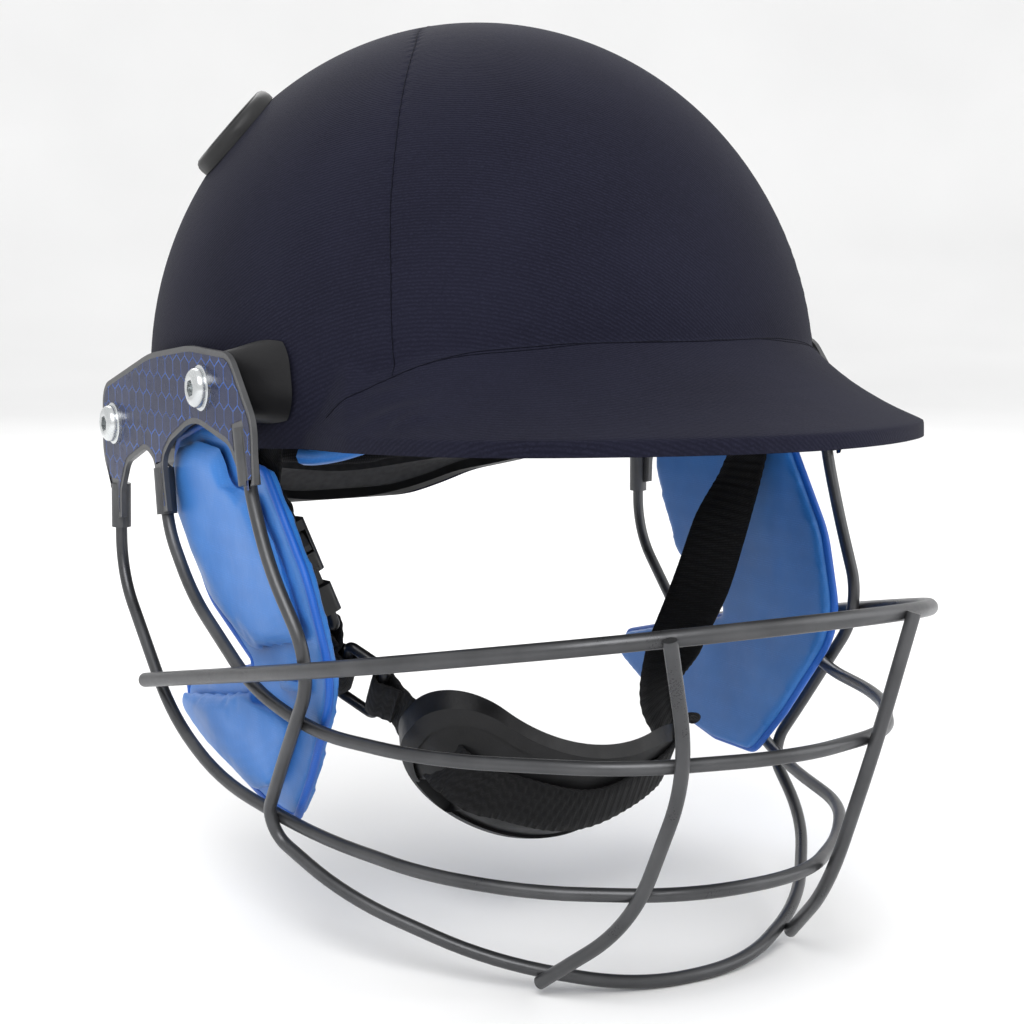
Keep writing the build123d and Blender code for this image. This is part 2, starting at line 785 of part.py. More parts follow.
def buckle_socket():
    """Socket half, with a mouth for the prongs, side windows and a webbing bar."""
    inner_width = buckle_width - buckle_wall * 2
    inner_thickness = buckle_thickness - buckle_wall * 2
    body = rounded_block(buckle_width, socket_length, buckle_thickness, buckle_corner)
    mouth_length = socket_length - socket_floor + overrun
    mouth = Box(inner_width, mouth_length, inner_thickness)
    body -= Pos(0, socket_length - socket_floor - mouth_length / 2, 0) * mouth
    window_length = catch_end - catch_start + buckle_gap * 4
    window = Box(buckle_width + overrun, window_length, inner_thickness)
    body -= Pos(0, (catch_start + catch_end) / 2, 0) * window
    ring_length = bar_reach + bar_reach
    ring = bar_ring(buckle_width, ring_length, bar_corner)
    body += Pos(0, socket_length + bar_reach - ring_length / 2, 0) * ring & Pos(
        0, socket_length + overrun / 2 - facet_guard) * Box(overrun * 2, overrun, overrun)
    return buckle_plane() * body


def buckle_prongs():
    """Prong half: base, tongue and webbing bar."""
    thickness = buckle_thickness - buckle_wall * 2 - buckle_gap * 2
    base = rounded_block(buckle_width, prong_base_length, buckle_thickness, buckle_corner)
    body = Pos(0, -prong_base_length - prong_base_gap, 0) * base
    tongue_full = tongue_length + prong_base_gap + facet_guard
    tongue = Box(tongue_width, tongue_full, thickness)
    body += Pos(0, tongue_length - tongue_full / 2, 0) * tongue
    ring_length = bar_reach + bar_reach
    low = -prong_base_length - prong_base_gap
    ring = bar_ring(buckle_width, ring_length, bar_corner)
    body += Pos(0, low - bar_reach + ring_length / 2, 0) * ring & Pos(
        0, low - overrun / 2 + facet_guard) * Box(overrun * 2, overrun, overrun)
    return buckle_plane() * body


def squeeze_arm(hand):
    """Springy arm of the prong half, with its catch in the socket's window."""
    thickness = buckle_thickness - buckle_wall * 2 - buckle_gap * 2
    outer = buckle_width / 2 - buckle_wall - buckle_gap
    inner = outer - arm_width
    root = buckle_gap - prong_base_gap
    outline = Polyline(
        (inner, root), (outer, root), (outer, catch_start), (outer + arm_catch, catch_start),
        (outer + arm_catch, catch_start + arm_catch), (outer, catch_end),
        (outer - arm_catch / 2, arm_length), (inner, arm_length), (inner, root))
    shape = extrude(make_face(outline), amount=thickness / 2, both=True)
    if hand < 0:
        shape = mirror(shape, about=Plane.YZ)
    return buckle_plane() * shape


def bar_place(up):
    """Middle of a bar of the buckle, up along the strap."""
    return buckle_plane().from_local_coords((0, up, 0))


def socket_bar():
    return bar_place(socket_length + bar_reach - bar_diameter / 2)


def prong_bar():
    return bar_place(bar_diameter / 2 - bar_reach - prong_base_length - prong_base_gap)


def near_tab():
    """Webbing from the right rivet to the buckle's socket."""
    forward = strap_direction(0, 0, 1)
    bar = socket_bar()
    body = strap_end(-1, strap_end_down) + web_loop(bar, forward)
    start = strap_point(-strap_pivot_x, strap_end_down - webbing_thickness, 0)
    up = buckle_plane().y_dir
    stations = [
        (start, forward), (bar + up * webbing_lead, forward), (bar + up * loop_reach(), forward)]
    return body + webbing(stations, breaks=(1,))


def ring_plane():
    """Plane of the adjuster ring: x along its bars, y up along the strap."""
    across = strap_direction(*ring_across)
    along = strap_direction(*ring_along)
    up = (along - across * along.dot(across)).normalized() * -1
    return Plane(
        origin=strap_point(ring_x, ring_down, ring_forward), x_dir=across, z_dir=across.cross(up))


def adjuster_ring():
    """Ring that joins the short strap to the chin webbing."""
    return ring_plane() * bar_ring(ring_length, ring_width, bar_corner)


def ring_bar(hand):
    """Middle of the ring's upper or lower bar."""
    return ring_plane().from_local_coords((0, hand * (ring_width - bar_diameter) / 2, 0))


def adjuster_webbing():
    """Short strap from the prong half to the adjuster ring."""
    forward = strap_direction(0, 0, 1)
    across = strap_direction(*ring_across)
    top, low = prong_bar(), ring_bar(1)
    down = buckle_plane().y_dir * -1
    up = ring_plane().y_dir
    body = web_loop(top, forward) + web_loop(low, across)
    stations = [
        (top + down * loop_reach(), forward), (top + down * webbing_lead, forward),
        (low + up * webbing_lead, across), (low + up * loop_reach(), across)]
    return body + webbing(stations, breaks=(1, 2))


def cup_plane():
    """Plane through the cup's centre: y up, z forward along its axis."""
    return Plane(
        origin=strap_point(cup_centre_x, cup_centre_down, cup_centre_forward), x_dir=(1, 0, 0),
        z_dir=strap_direction(0, 0, 1))


def band_station(angle, lift):
    """Station of the webbing round the cup, lifted off the cup's outer face."""
    turn = radians(angle)
    around = cup_radius * sqrt(1 - (band_forward / cup_depth) ** 2)
    slope = Vector(around / cup_radius ** 2, band_forward / cup_depth ** 2, 0).normalized()
    radius = around + lift * slope.X
    forward = band_forward + lift * slope.Y
    place = (radius * sin(turn), -radius * cos(turn), forward)
    wide = (-slope.Y * sin(turn), slope.Y * cos(turn), slope.X)
    plane = cup_plane()
    ahead = plane.from_local_coords(wide) - plane.origin
    return plane.from_local_coords(place), ahead


def cup_stations():
    """Webbing across the cup: inside its ends, through both slots and over its front."""
    outside = band_gap + webbing_thickness / 2
    inside = -cup_wall - band_inner_gap - webbing_thickness / 2
    last = band_half_angle + ramp_angle + ramp_angle
    stations = [band_station(-last, inside)]
    stations.append(band_station(-band_half_angle - ramp_angle, (inside + outside) / 2))
    for step in range(-band_steps, band_steps + 1):
        stations.append(band_station(band_half_angle * step / band_steps, outside))
    stations.append(band_station(band_half_angle + ramp_angle, (inside + outside) / 2))
    stations.append(band_station(last, inside))
    return stations


def chin_stations():
    """Webbing from the adjuster ring through the cup and up to the left rivet."""
    across = strap_direction(*ring_across)
    bar = ring_bar(-1)
    leave = ring_plane().y_dir * -1
    near = [
        (bar + leave * loop_reach(), across),
        strap_station(-50, 94, 12, (0.1, -0.45, 0.85))]
    far = [
        strap_station(40, 94, 14, (0.1, -0.4, 0.85)), strap_station(51, 80, 7, (0.6, -0.1, 0.75)),
        strap_station(67, 60, 1, (0.75, 0, 0.65)), strap_station(77, 39, 0, (0.6, 0, 0.8)),
        strap_station(strap_pivot_x - 6, 24, 0, (0.2, 0, 1)),
        strap_station(strap_pivot_x, strap_end_down - webbing_thickness, 0, (0, 0, 1))]
    return near + cup_stations() + far


def chin_route(grow=0.0):
    """Webbing from the ring through the cup to the left rivet, without its ends."""
    stations = chin_stations()
    last = near_stations + len(cup_stations()) - 1
    turns = (near_stations, near_stations + ramp_stations, last - ramp_stations, last)
    return webbing(stations, grow, turns)


def chin_webbing():
    """Webbing from the ring through the cup to the left rivet, in one piece."""
    loop = web_loop(ring_bar(-1), strap_direction(*ring_across))
    return chin_route() + loop + strap_end(1, strap_end_down)


def cup_bowl(inset):
    """Bowl form of the cup, drawn in by inset."""
    return scaled_sphere(cup_radius - inset, cup_radius - inset, cup_depth - inset)


def cup_slot(hand):
    """Cutter for one of the cup's slots, in the cup's plane."""
    middle = radians(band_half_angle + ramp_angle / 2)
    around = cup_radius * sqrt(1 - (band_forward / cup_depth) ** 2)
    place = Plane(
        origin=(hand * around * sin(middle), -around * cos(middle), band_forward - slot_setback),
        x_dir=(hand * cos(middle), sin(middle), 0), z_dir=(hand * sin(middle), -cos(middle), 0))
    return place * Box(slot_length, webbing_width + slot_clearance * 2, overrun)


def chin_cup():
    """Rubber bowl with a raised rim and two slots for the webbing."""
    dish = radians(cup_dish_angle)
    view = Plane(origin=(0, 0, 0), x_dir=(1, 0, 0), z_dir=(0, -cos(dish), sin(dish)))
    reach = cup_radius + overrun
    view = view * Pos(0, -cup_face_drop)
    trim = extrude(view * RectangleRounded(cup_length, cup_height, cup_corner), amount=reach)
    open_length = cup_length - cup_bead_width * 2
    open_height = cup_height - cup_bead_width * 2
    middle = extrude(
        view * RectangleRounded(open_length, open_height, cup_corner - cup_bead_width), amount=reach)
    bowl = (cup_bowl(0.0) - cup_bowl(cup_wall)) & trim
    bead = (cup_bowl(-cup_bead) - cup_bowl(cup_wall)) & (trim - middle)
    cup = cup_plane() * Rot(0, 0, -cup_set_angle) * (bowl + bead)
    for hand in SIDES:
        cup -= cup_plane() * cup_slot(hand)
    return cup


def build():
    """All nodes by name."""
    skin = comfort_layer()
    nodes = {
        "cloth_cover": cloth_cover(),
        "outer_shell": outer_shell(),
        "impact_liner": impact_liner(),
        "brow_pad": brow_pad(skin),
        "crown_pad": crown_pad(skin),
        "rear_pad": rear_pad(skin),
        "nape_lining": nape_lining(skin),
        "eye_bar": eye_bar(),
        "middle_rail": middle_rail(),
        "lower_rail": lower_rail(),
        "side_and_chin_rod": side_and_chin_rod(),
        "near_tab": near_tab(),
        "buckle_socket": buckle_socket(),
        "buckle_prongs": buckle_prongs(),
        "squeeze_arm_front": squeeze_arm(1),
        "squeeze_arm_back": squeeze_arm(-1),
        "adjuster_webbing": adjuster_webbing(),
        "adjuster_ring": adjuster_ring(),
        "chin_webbing": chin_webbing(),
        "chin_cup": chin_cup(),
    }
    for side in SIDES:
        name = SIDE_NAMES[side]
        nodes["temple_pad_" + name] = temple_pad(skin, side)
        nodes["vent_grommet_" + name] = vent_grommet(side)
        nodes["side_plate_" + name] = side_plate(side)
        nodes["front_spacer_" + name] = front_spacer(side)
        nodes["rear_spacer_" + name] = rear_spacer(side)
        nodes["mount_bolts_" + name] = mount_bolts(side)
        nodes["inner_nuts_" + name] = inner_nuts(side)
        nodes["upright_" + name] = upright(side)
        nodes["cheek_backing_" + name] = cheek_backing(side)
        nodes["cheek_upper_lobe_" + name] = cheek_lobe(upper_lobe_shares, side, pad_lobe_height)
        nodes["cheek_middle_lobe_" + name] = cheek_lobe(middle_lobe_shares, side, pad_lobe_height)
        nodes["cheek_lower_lobe_" + name] = cheek_lobe(lower_lobe_shares, side, pad_lower_height)
        nodes["strap_rivet_" + name] = strap_rivet(side)
    return nodes


os.makedirs("parts", exist_ok=True)
for node, solid in build().items():
    export_step(solid, "parts/" + node + ".step")
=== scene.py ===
import math

import bmesh
import bpy
import numpy as np
from mathutils import Matrix, Vector
from mathutils.bvhtree import BVHTree


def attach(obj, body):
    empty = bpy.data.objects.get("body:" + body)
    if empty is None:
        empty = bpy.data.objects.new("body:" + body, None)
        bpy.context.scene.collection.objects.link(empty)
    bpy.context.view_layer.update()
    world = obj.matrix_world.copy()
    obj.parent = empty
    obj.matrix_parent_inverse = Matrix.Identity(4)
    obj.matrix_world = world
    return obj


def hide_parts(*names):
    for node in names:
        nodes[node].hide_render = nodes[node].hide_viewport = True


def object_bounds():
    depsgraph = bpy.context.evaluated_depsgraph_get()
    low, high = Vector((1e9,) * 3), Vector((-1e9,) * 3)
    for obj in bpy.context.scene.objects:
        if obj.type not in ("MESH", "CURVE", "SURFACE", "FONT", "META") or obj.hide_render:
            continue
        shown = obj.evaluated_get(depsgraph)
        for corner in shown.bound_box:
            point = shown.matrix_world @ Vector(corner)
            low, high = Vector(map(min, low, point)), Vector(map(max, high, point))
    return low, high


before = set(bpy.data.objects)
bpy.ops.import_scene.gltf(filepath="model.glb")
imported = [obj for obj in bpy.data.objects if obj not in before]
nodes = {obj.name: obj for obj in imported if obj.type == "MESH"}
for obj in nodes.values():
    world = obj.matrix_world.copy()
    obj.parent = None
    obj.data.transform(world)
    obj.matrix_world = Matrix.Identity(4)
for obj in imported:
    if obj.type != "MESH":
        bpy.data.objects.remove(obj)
cad_box = [list(corner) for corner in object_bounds()]
MM = 0.001
SIDES = (("left", 1), ("right", -1))


# Camera
SENSOR_MM = 36
FRAME_PIXELS = 1024
FOCAL_PIXELS = 2000
CAMERA_PLACE = (-0.3234, -0.5740, 0.0874)


def add_object(name, data):
    obj = bpy.data.objects.new(name, data)
    bpy.context.scene.collection.objects.link(obj)
    return obj


def make_camera():
    """The photograph's view, aimed at the origin."""
    data = bpy.data.cameras.new("photo_camera")
    data.sensor_width = SENSOR_MM
    data.lens = SENSOR_MM * FOCAL_PIXELS / FRAME_PIXELS
    cam = add_object("photo_camera", data)
    place = Vector(CAMERA_PLACE)
    back = place.normalized()
    right = Vector((0, 0, 1)).cross(back).normalized()
    up = back.cross(right)
    turn = Matrix((right, up, back)).transposed().to_4x4()
    cam.matrix_world = Matrix.Translation(place) @ turn
    bpy.context.scene.camera = cam


make_camera()


# Materials
class Shader:
    """A small node material builder in object coordinates."""

    def __init__(self, name, rough=0.5, metal=0.0, specular=0.5, sheen=0.0):
        self.mat = bpy.data.materials.new(name)
        self.mat.use_nodes = True
        self.tree = self.mat.node_tree
        self.bsdf = self.tree.nodes["Principled BSDF"]
        for socket, value in (
                ("Roughness", rough), ("Metallic", metal), ("Specular IOR Level", specular),
                ("Sheen Weight", sheen), ("Sheen Roughness", 0.5)):
            self.bsdf.inputs[socket].default_value = value
        self.coords = self.new("ShaderNodeTexCoord").outputs["Object"]

    def new(self, kind, **values):
        node = self.tree.nodes.new(kind)
        for key, value in values.items():
            setattr(node, key, value)
        return node

    def link(self, a, b):
        self.tree.links.new(a, b)

    def noise(self, scale, detail):
        node = self.new("ShaderNodeTexNoise")
        node.inputs["Scale"].default_value = scale
        node.inputs["Detail"].default_value = detail
        self.link(self.coords, node.inputs["Vector"])
        return node.outputs["Fac"]

    def wave(self, scale, direction, distortion):
        node = self.new("ShaderNodeTexWave", bands_direction=direction)
        node.inputs["Scale"].default_value = scale
        node.inputs["Distortion"].default_value = distortion
        node.inputs["Detail Scale"].default_value = 2.0
        self.link(self.coords, node.inputs["Vector"])
        return node.outputs["Fac"]

    def math(self, operation, *values):
        """A math node on sockets and plain numbers."""
        node = self.new("ShaderNodeMath", operation=operation)
        for socket, value in zip(node.inputs, values):
            if isinstance(value, (int, float)):
                socket.default_value = value
            else:
                self.link(value, socket)
        return node.outputs[0]

    def vector_math(self, operation, value, fixed=None):
        """The outputs of a vector math node on a socket and, if given, a fixed vector."""
        node = self.new("ShaderNodeVectorMath", operation=operation)
        self.link(value, node.inputs[0])
        if fixed is not None:
            node.inputs[1].default_value = fixed
        return node.outputs

    def ramp(self, value, low, high):
        """Spreads a noise, which lies mostly between 0.3 and 0.7, from low to high."""
        node = self.new("ShaderNodeMapRange")
        self.link(value, node.inputs["Value"])
        for socket, number in (
                ("From Min", 0.3), ("From Max", 0.7), ("To Min", low), ("To Max", high)):
            node.inputs[socket].default_value = number
        return node.outputs[0]

    def mix(self, share, first, second):
        """A colour between two, each one a socket or a plain colour."""
        node = self.new("ShaderNodeMix", data_type="RGBA")
        self.link(share, node.inputs["Factor"])
        for socket, colour in ((node.inputs[6], first), (node.inputs[7], second)):
            if isinstance(colour, tuple):
                socket.default_value = (*colour, 1.0)
            else:
                self.link(colour, socket)
        return node.outputs[2]

    def colour(self, value):
        self.link(value, self.bsdf.inputs["Base Color"])

    def rough(self, value):
        self.link(value, self.bsdf.inputs["Roughness"])

    def bump(self, height, strength, distance):
        """Adds a bump on top of those that the surface has so far."""
        node = self.new("ShaderNodeBump")
        node.inputs["Strength"].default_value = strength
        node.inputs["Distance"].default_value = distance
        self.link(height, node.inputs["Height"])
        normal = self.bsdf.inputs["Normal"]
        if normal.is_linked:
            self.link(normal.links[0].from_socket, node.inputs["Normal"])
        self.link(node.outputs[0], normal)


def paler(colour, gain, lift):
    return tuple(min(1.0, c * gain + lift) for c in colour)


# Metres between the bands of a diagonal wave at scale 1
DIAGONAL_BANDS = 0.36


def cloth_material(name, dark, light, rough, period, strength):
    """Twill: fine diagonal ribs broken up by a finer speckle."""
    s = Shader(name, rough=rough, specular=0.10, sheen=0.02)
    ribs = s.wave(DIAGONAL_BANDS / period, "DIAGONAL", 3.0)
    speckle = s.noise(1500, 2)
    broad = s.noise(22, 3)
    grain = s.math("MULTIPLY", s.ramp(speckle, 0.0, 1.0), ribs)
    base = s.mix(s.ramp(broad, 0.0, 0.55), dark, light)
    s.colour(s.mix(s.math("MULTIPLY", grain, 0.45), base, paler(light, 1.7, 0.004)))
    s.bump(ribs, strength, 0.00025)
    s.bump(speckle, strength, 0.0002)
    return s.mat


def pad_material(name, dark, light, rough):
    """Smooth stretch fabric over foam, with a faint knit."""
    s = Shader(name, rough=rough, specular=0.4, sheen=0.06)
    broad = s.noise(35, 3)
    knit = s.wave(420, "X", 1.5)
    cross = s.wave(420, "Z", 1.5)
    speckle = s.noise(1300, 2)
    weave = s.math("MULTIPLY", knit, cross)
    base = s.mix(s.ramp(broad, 0.0, 1.0), dark, light)
    grain = s.math("MULTIPLY", s.ramp(speckle, 0.0, 0.35), weave)
    s.colour(s.mix(grain, base, paler(light, 1.25, 0.02)))
    s.rough(s.ramp(s.noise(60, 2), rough - 0.06, rough + 0.08))
    s.bump(weave, 0.12, 0.0002)
    s.bump(speckle, 0.1, 0.0002)
    s.bump(s.noise(90, 3), 0.12, 0.002)
    return s.mat


def metal_material(name, dark, light, rough, metal, scratch):
    """Coated or plated steel with rubbed patches and fine scratches."""
    s = Shader(name, rough=rough, metal=metal, specular=0.5)
    patches = s.noise(55, 5)
    s.colour(s.mix(s.ramp(patches, 0.0, 1.0), dark, light))
    fine = s.noise(2200, 2)
    s.rough(s.math("ADD", s.ramp(patches, rough - 0.07, rough + 0.07), s.ramp(fine, -0.04, 0.04)))
    s.bump(fine, scratch, 0.0001)
    s.bump(s.noise(240, 3), scratch, 0.0004)
    return s.mat


def rubber_material(name, dark, light, rough, coarse, strength, specular=0.25):
    """Moulded rubber or plastic with a fine mould grain and dull scuffs."""
    s = Shader(name, rough=rough, specular=specular)
    scuffs = s.noise(coarse, 5)
    s.colour(s.mix(s.ramp(scuffs, 0.0, 1.0), dark, light))
    s.rough(s.ramp(s.noise(coarse * 2, 4), rough - 0.08, rough + 0.12))
    s.bump(s.noise(1800, 2), strength, 0.0001)
    s.bump(s.noise(150, 3), strength, 0.0006)
    return s.mat


def webbing_material(name, dark, light):
    """Woven strap: cross ribs come from the mesh, the yarn from here."""
    s = Shader(name, rough=0.75, specular=0.15, sheen=0.03)
    yarn = s.wave(520, "DIAGONAL", 2.0)
    speckle = s.noise(1600, 2)
    s.colour(s.mix(s.math("MULTIPLY", yarn, s.ramp(speckle, 0.1, 0.9)), dark, light))
    s.bump(yarn, 0.35, 0.0002)
    s.bump(speckle, 0.25, 0.0002)
    return s.mat


def lining_material(name, dark, light):
    """Knitted lining."""
    s = Shader(name, rough=0.88, specular=0.1, sheen=0.02)
    knit = s.math("MULTIPLY", s.wave(300, "X", 1.0), s.wave(300, "Z", 1.0))
    s.colour(s.mix(knit, dark, light))
    s.bump(knit, 0.4, 0.0003)
    return s.mat


# A honeycomb is two rectangular lattices of cell centres, measured in cell widths
CELL = (1.0, 1.7320508, 1.0)
HALF_CELL = (0.5, 0.8660254, 0.0)
# Shifts, in cell widths, that keep every coordinate on the helmet above zero
SHIFT_ACROSS = 100.0
SHIFT_UP = 173.2


def decal_material(name, pitch, line):
    """Glossy printed sheet with a thin honeycomb of lines."""
    s = Shader(name, rough=0.26, specular=0.16)
    parts = s.new("ShaderNodeSeparateXYZ")
    s.link(s.coords, parts.inputs[0])
    flat = s.new("ShaderNodeCombineXYZ")
    s.link(s.math("MULTIPLY_ADD", parts.outputs["Y"], 1 / pitch, SHIFT_ACROSS), flat.inputs["X"])
    s.link(s.math("MULTIPLY_ADD", parts.outputs["Z"], 1 / pitch, SHIFT_UP), flat.inputs["Y"])

    def cell(offset):
        """Place within the nearest cell of one of the two lattices, and its length."""
        moved = s.vector_math("SUBTRACT", flat.outputs[0], offset)[0]
        wrapped = s.vector_math("MODULO", moved, CELL)[0]
        centred = s.vector_math("SUBTRACT", wrapped, HALF_CELL)[0]
        return centred, s.vector_math("LENGTH", centred)["Value"]

    first, first_length = cell((0.0, 0.0, 0.0))
    second, second_length = cell(HALF_CELL)
    chosen = s.new("ShaderNodeMix", data_type="VECTOR")
    s.link(s.math("LESS_THAN", second_length, first_length), chosen.inputs["Factor"])
    s.link(first, chosen.inputs[4])
    s.link(second, chosen.inputs[5])
    part = s.new("ShaderNodeSeparateXYZ")
    s.link(chosen.outputs[1], part.inputs[0])
    across = s.math("ABSOLUTE", part.outputs["X"])
    along = s.math("ABSOLUTE", part.outputs["Y"])
    half = s.math("MULTIPLY", across, HALF_CELL[0])
    rise = s.math("MULTIPLY", along, HALF_CELL[1])
    edge = s.math("MAXIMUM", across, s.math("ADD", half, rise))
    lines = s.math("GREATER_THAN", edge, HALF_CELL[0] - line)
    faded = s.math("MULTIPLY", lines, s.ramp(s.noise(70, 2), 0.25, 1.0))
    base = s.mix(
        s.ramp(s.noise(45, 3), 0.0, 1.0), (0.0035, 0.0070, 0.0350), (0.0070, 0.0140, 0.0600))
    s.colour(s.mix(faded, base, (0.020, 0.105, 0.42)))
    s.rough(s.ramp(s.noise(220, 3), 0.16, 0.3))
    s.bump(s.noise(400, 3), 0.04, 0.0004)
    return s.mat


NAVY = cloth_material(
    "navy_twill_mat", (0.0052, 0.0054, 0.0128), (0.0100, 0.0104, 0.0220),
    rough=0.85, period=0.0009, strength=0.22)
SEAM = cloth_material(
    "seam_mat", (0.0018, 0.0020, 0.0060), (0.0030, 0.0034, 0.0090),
    rough=0.9, period=0.0010, strength=0.2)
BLUE = pad_material("pad_blue_mat", (0.016, 0.132, 0.430), (0.028, 0.175, 0.530), rough=0.44)
EDGE_BLUE = pad_material("pad_edge_mat", (0.003, 0.080, 0.400), (0.005, 0.105, 0.480), rough=0.45)
LINING = lining_material("nape_black_mat", (0.004, 0.004, 0.005), (0.014, 0.014, 0.017))
STEEL = metal_material(
    "guard_steel_mat", (0.050, 0.051, 0.054), (0.082, 0.083, 0.087),
    rough=0.35, metal=0.6, scratch=0.14)
PLATE = metal_material(
    "plate_steel_mat", (0.060, 0.061, 0.064), (0.100, 0.101, 0.105),
    rough=0.40, metal=0.55, scratch=0.12)
BOLT = metal_material(
    "bolt_steel_mat", (0.52, 0.54, 0.55), (0.68, 0.70, 0.70), rough=0.24, metal=0.95, scratch=0.05)
NUT = metal_material(
    "nut_steel_mat", (0.42, 0.43, 0.44), (0.55, 0.56, 0.57), rough=0.32, metal=0.9, scratch=0.08)
VENT = rubber_material(
    "vent_rubber_mat", (0.013, 0.013, 0.014), (0.026, 0.026, 0.027),
    rough=0.45, coarse=70, strength=0.2)
SPACER = rubber_material(
    "spacer_rubber_mat", (0.005, 0.005, 0.006), (0.011, 0.011, 0.012),
    rough=0.50, coarse=60, strength=0.2)
BUCKLE = rubber_material(
    "buckle_black_mat", (0.004, 0.004, 0.0045), (0.009, 0.009, 0.010),
    rough=0.34, coarse=80, strength=0.10, specular=0.4)
CUP = rubber_material(
    "cup_rubber_mat", (0.006, 0.006, 0.0065), (0.015, 0.015, 0.016),
    rough=0.40, coarse=60, strength=0.3)
SHELL = rubber_material(
    "shell_black_mat", (0.006, 0.006, 0.006), (0.012, 0.012, 0.012),
    rough=0.45, coarse=50, strength=0.1)
FOAM = rubber_material(
    "liner_foam_mat", (0.018, 0.018, 0.019), (0.032, 0.032, 0.034),
    rough=0.85, coarse=400, strength=0.6)
WEB = webbing_material("webbing_black_mat", (0.0035, 0.0035, 0.004), (0.014, 0.014, 0.015))
DECAL = decal_material("decal_mat", pitch=0.0072, line=0.024)


# Helpers
WELD_DISTANCE = 1e-6


def paint(obj, mat):
    obj.data.materials.clear()
    obj.data.materials.append(mat)


def piece(name, data, mat, body, slot, *stands_for):
    """A finished object that rides on a body, painted with the given material. The slot is not
    used.
    """
    obj = add_object(name, data)
    paint(obj, mat)
    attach(obj, body)
    if stands_for:
        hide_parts(*stands_for)
    return obj


def mesh_of(bm, name):
    """Turns a bmesh into a mesh and frees it."""
    mesh = bpy.data.meshes.new(name)
    bm.to_mesh(mesh)
    bm.free()
    return mesh


def welded(mesh):
    """A bmesh of a mesh with its double vertices joined."""
    bm = bmesh.new()
    bm.from_mesh(mesh)
    bmesh.ops.remove_doubles(bm, verts=bm.verts, dist=WELD_DISTANCE)
    return bm


def relax(bm, verts, factor, times):
    for _ in range(times):
        bmesh.ops.smooth_vert(
            bm, verts=verts, factor=factor, use_axis_x=True, use_axis_y=True, use_axis_z=True)


def smooth(mesh, angle):
    mesh.shade_smooth()
    mesh.set_sharp_from_angle(angle=math.radians(angle))


def bvh_of(mesh):
    return BVHTree.FromPolygons(
        [v.co.copy() for v in mesh.vertices], [tuple(p.vertices) for p in mesh.polygons])


def as_array(vectors):
    return np.array([v[:] for v in vectors])


def mirrored(point, hand):
    """A place or direction given for the left side, on the side of the hand."""
    x, y, z = point
    return Vector((hand * x, y, z))


def curve_points(points, step):
    """Points on a smooth line through the given ones, about a step apart."""
    points = [Vector(p) for p in points]
    ends = [points[0] * 2 - points[1], *points, points[-1] * 2 - points[-2]]
    made = []
    for i in range(1, len(ends) - 2):
        a, b, c, d = ends[i - 1:i + 3]
        count = max(2, int((c - b).length / step))
        for k in range(count):
            t = k / count
            made.append(0.5 * (
                b * 2 + (c - a) * t + (a * 2 - b * 5 + c * 4 - d) * t * t
                + (b * 3 - a - c * 3 + d) * t ** 3))
    made.append(points[-1])
    return made


def lengths_along(points):
    """The distance gone along a line at each of its points."""
    gone = [0.0]
    for a, b in zip(points, points[1:]):
        gone.append(gone[-1] + (b - a).length)
    return gone


def skin(bm, rings, capped):
    """Joins rings of vertices by quads and, where asked, closes both ends."""
    for a, b in zip(rings, rings[1:]):
        for n in range(len(a)):
            m = (n + 1) % len(a)
            bm.faces.new((a[n], a[m], b[m], b[n]))
    if capped:
        bm.faces.new(rings[0][::-1])
        bm.faces.new(rings[-1])
    bmesh.ops.recalc_face_normals(bm, faces=bm.faces)


def tube(name, points, radius, mat, slot, cyclic=False):
    """A thin round trim on the helmet along the points."""
    data = bpy.data.curves.new(name, "CURVE")
    data.dimensions = "3D"
    data.bevel_depth = radius
    data.bevel_resolution = 2
    spline = data.splines.new("POLY")
    spline.points.add(len(points) - 1)
    for point, place in zip(spline.points, points):
        point.co = (*place, 1.0)
    spline.use_cyclic_u = cyclic
    spline.use_smooth = True
    piece(name, data, mat, "helmet", slot)


# Cloth cover: places on seams and folds in millimetres, all other sizes in metres
CROWN_SEAM = [
    (20, 22.3, 158.5), (37.7, -4.7, 149.6), (50, -22.4, 137.2), (61.8, -40, 116.6),
    (67.3, -48.3, 101.9), (71.9, -57.5, 80.3), (74.5, -63, 59.3), (74.8, -64.8, 50.6)]
CROWN_MIDDLE = (0, 32, 161)
PEAK_SEAM = [
    (87, -49, 38.6), (80, -59, 45.6), (75, -65, 50), (62, -77, 55), (38, -91, 56), (8, -97, 58)]
PEAK_MIDDLE = (0, -98, 58)
WRINKLES = [
    [(-90.7, -64.4, 33.7), (-87, -69.2, 37.5), (-83.1, -73.9, 40.2), (-79.4, -79.1, 42.4),
     (-76, -84.6, 43.7), (-71.6, -90.3, 45.1)],
    [(-84.3, -80.3, 37.7), (-80, -85.1, 40.4), (-75.8, -90.8, 42)],
    [(-84.9, -60.9, 43), (-81.5, -64.3, 45.1), (-78, -69.9, 46.7), (-74.3, -76.9, 47.9)],
    [(85.5, -62, 42), (82, -67, 44), (77, -75, 45.5), (72, -84, 46)]]
LINE_STEP = 0.0015
SEAM_DEPTH = 0.0005
SEAM_REACH = 0.0016
SEAM_RADIUS = 0.0002
SEAM_PASSES = 6
FOLD_HEIGHT = 0.0011
FOLD_REACH = 0.0028
COVER_GRID = (400, 170)

# Rays from the origin find the cover's outer face and the inner face of its hem
RAY_REACH = 0.4
RAY_NUDGE = 1e-5
EDGE_START = math.radians(-14)
EDGE_STEP = math.radians(0.5)
EDGE_HALVINGS = 12
# Power that crowds the rows towards the lower edge
CROWDING = 1.25
HEM_ROWS = 10
HEM_STEP = math.radians(0.25)
HEM_TOP = math.radians(50)
# The hem ends at a thin wall past its least length, or else at its greatest length
HEM_LEAST = 0.009
HEM_MOST = 0.075
HEM_WALL = 0.004


